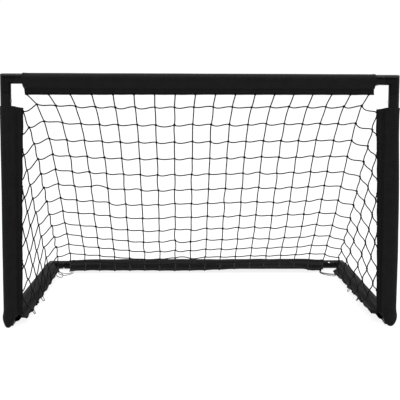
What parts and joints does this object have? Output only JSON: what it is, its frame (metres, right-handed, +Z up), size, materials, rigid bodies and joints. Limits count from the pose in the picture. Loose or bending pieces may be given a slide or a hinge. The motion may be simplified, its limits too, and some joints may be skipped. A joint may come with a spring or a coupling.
{
  "type": "floorball goal",
  "caption": "Plug-together floorball goal: round steel tubes joined by plastic corner elbows with snap buttons, folded fabric sleeves and a sloping square-mesh net.",
  "frame": {"origin": "on the floor, under the middle of the goal's box", "axes": "+Z up, the mouth faces -Y, the rear bar lies towards +Y, +X to the right as seen from in front of the mouth"},
  "size_m": [0.9522, 0.4272, 0.6111],
  "materials": {
    "tube_paint": "satin black powder coat",
    "elbow_plastic": "moulded black, semi-gloss",
    "button_steel": "bright plated",
    "spring_steel": "plain",
    "sleeve_fabric": "woven black polyester",
    "net_cord": "knotted black cord"
  },
  "bodies": {
    "frame": {"left_top_elbow": "elbow_plastic", "left_front_elbow": "elbow_plastic", "left_rear_elbow": "elbow_plastic", "right_top_elbow": "elbow_plastic", "right_front_elbow": "elbow_plastic", "right_rear_elbow": "elbow_plastic", "left_top_crossbar_leaf_spring": "spring_steel", "left_top_post_leaf_spring": "spring_steel", "left_front_post_leaf_spring": "spring_steel", "left_front_base_leaf_spring": "spring_steel", "left_rear_base_leaf_spring": "spring_steel", "left_rear_rear_leaf_spring": "spring_steel", "right_top_crossbar_leaf_spring": "spring_steel", "right_top_post_leaf_spring": "spring_steel", "right_front_post_leaf_spring": "spring_steel", "right_front_base_leaf_spring": "spring_steel", "right_rear_base_leaf_spring": "spring_steel", "right_rear_rear_leaf_spring": "spring_steel", "crossbar_tube": "tube_paint", "rear_tube": "tube_paint", "left_post_tube": "tube_paint", "right_post_tube": "tube_paint", "left_base_tube": "tube_paint", "right_base_tube": "tube_paint", "crossbar_sleeve": "sleeve_fabric", "rear_sleeve": "sleeve_fabric", "left_post_sleeve": "sleeve_fabric", "right_post_sleeve": "sleeve_fabric", "left_base_sleeve": "sleeve_fabric", "right_base_sleeve": "sleeve_fabric", "back_net": "net_cord", "left_side_net": "net_cord", "right_side_net": "net_cord"},
    "left_top_crossbar_button_body": {"left_top_crossbar_button": "button_steel"},
    "left_top_post_button_body": {"left_top_post_button": "button_steel"},
    "left_front_post_button_body": {"left_front_post_button": "button_steel"},
    "left_front_base_button_body": {"left_front_base_button": "button_steel"},
    "left_rear_base_button_body": {"left_rear_base_button": "button_steel"},
    "left_rear_rear_button_body": {"left_rear_rear_button": "button_steel"},
    "right_top_crossbar_button_body": {"right_top_crossbar_button": "button_steel"},
    "right_top_post_button_body": {"right_top_post_button": "button_steel"},
    "right_front_post_button_body": {"right_front_post_button": "button_steel"},
    "right_front_base_button_body": {"right_front_base_button": "button_steel"},
    "right_rear_base_button_body": {"right_rear_base_button": "button_steel"},
    "right_rear_rear_button_body": {"right_rear_rear_button": "button_steel"}
  },
  "joints": [
    {"name": "left_top_crossbar_button_press", "type": "slide", "parent": "frame", "child": "left_top_crossbar_button_body", "axis": [0, 0, 1], "range_m": [0, 0.0035], "stiffness_N_per_m": 1500, "springref_m": -0.002, "deforming": ["left_top_crossbar_leaf_spring"]},
    {"name": "left_top_post_button_press", "type": "slide", "parent": "frame", "child": "left_top_post_button_body", "axis": [-1, 0, 0], "range_m": [0, 0.0035], "stiffness_N_per_m": 1500, "springref_m": -0.002, "deforming": ["left_top_post_leaf_spring"]},
    {"name": "left_front_post_button_press", "type": "slide", "parent": "frame", "child": "left_front_post_button_body", "axis": [-1, 0, 0], "range_m": [0, 0.0035], "stiffness_N_per_m": 1500, "springref_m": -0.002, "deforming": ["left_front_post_leaf_spring"]},
    {"name": "left_front_base_button_press", "type": "slide", "parent": "frame", "child": "left_front_base_button_body", "axis": [-1, 0, 0], "range_m": [0, 0.0035], "stiffness_N_per_m": 1500, "springref_m": -0.002, "deforming": ["left_front_base_leaf_spring"]},
    {"name": "left_rear_base_button_press", "type": "slide", "parent": "frame", "child": "left_rear_base_button_body", "axis": [-1, 0, 0], "range_m": [0, 0.0035], "stiffness_N_per_m": 1500, "springref_m": -0.002, "deforming": ["left_rear_base_leaf_spring"]},
    {"name": "left_rear_rear_button_press", "type": "slide", "parent": "frame", "child": "left_rear_rear_button_body", "axis": [0, 0.8192, 0.5736], "range_m": [0, 0.0035], "stiffness_N_per_m": 1500, "springref_m": -0.002, "deforming": ["left_rear_rear_leaf_spring"]},
    {"name": "right_top_crossbar_button_press", "type": "slide", "parent": "frame", "child": "right_top_crossbar_button_body", "axis": [0, 0, 1], "range_m": [0, 0.0035], "stiffness_N_per_m": 1500, "springref_m": -0.002, "deforming": ["right_top_crossbar_leaf_spring"]},
    {"name": "right_top_post_button_press", "type": "slide", "parent": "frame", "child": "right_top_post_button_body", "axis": [1, 0, 0], "range_m": [0, 0.0035], "stiffness_N_per_m": 1500, "springref_m": -0.002, "deforming": ["right_top_post_leaf_spring"]},
    {"name": "right_front_post_button_press", "type": "slide", "parent": "frame", "child": "right_front_post_button_body", "axis": [1, 0, 0], "range_m": [0, 0.0035], "stiffness_N_per_m": 1500, "springref_m": -0.002, "deforming": ["right_front_post_leaf_spring"]},
    {"name": "right_front_base_button_press", "type": "slide", "parent": "frame", "child": "right_front_base_button_body", "axis": [1, 0, 0], "range_m": [0, 0.0035], "stiffness_N_per_m": 1500, "springref_m": -0.002, "deforming": ["right_front_base_leaf_spring"]},
    {"name": "right_rear_base_button_press", "type": "slide", "parent": "frame", "child": "right_rear_base_button_body", "axis": [1, 0, 0], "range_m": [0, 0.0035], "stiffness_N_per_m": 1500, "springref_m": -0.002, "deforming": ["right_rear_base_leaf_spring"]},
    {"name": "right_rear_rear_button_press", "type": "slide", "parent": "frame", "child": "right_rear_rear_button_body", "axis": [0, 0.8192, -0.5736], "range_m": [0, 0.0035], "stiffness_N_per_m": 1500, "springref_m": -0.002, "deforming": ["right_rear_rear_leaf_spring"]}
  ]
}
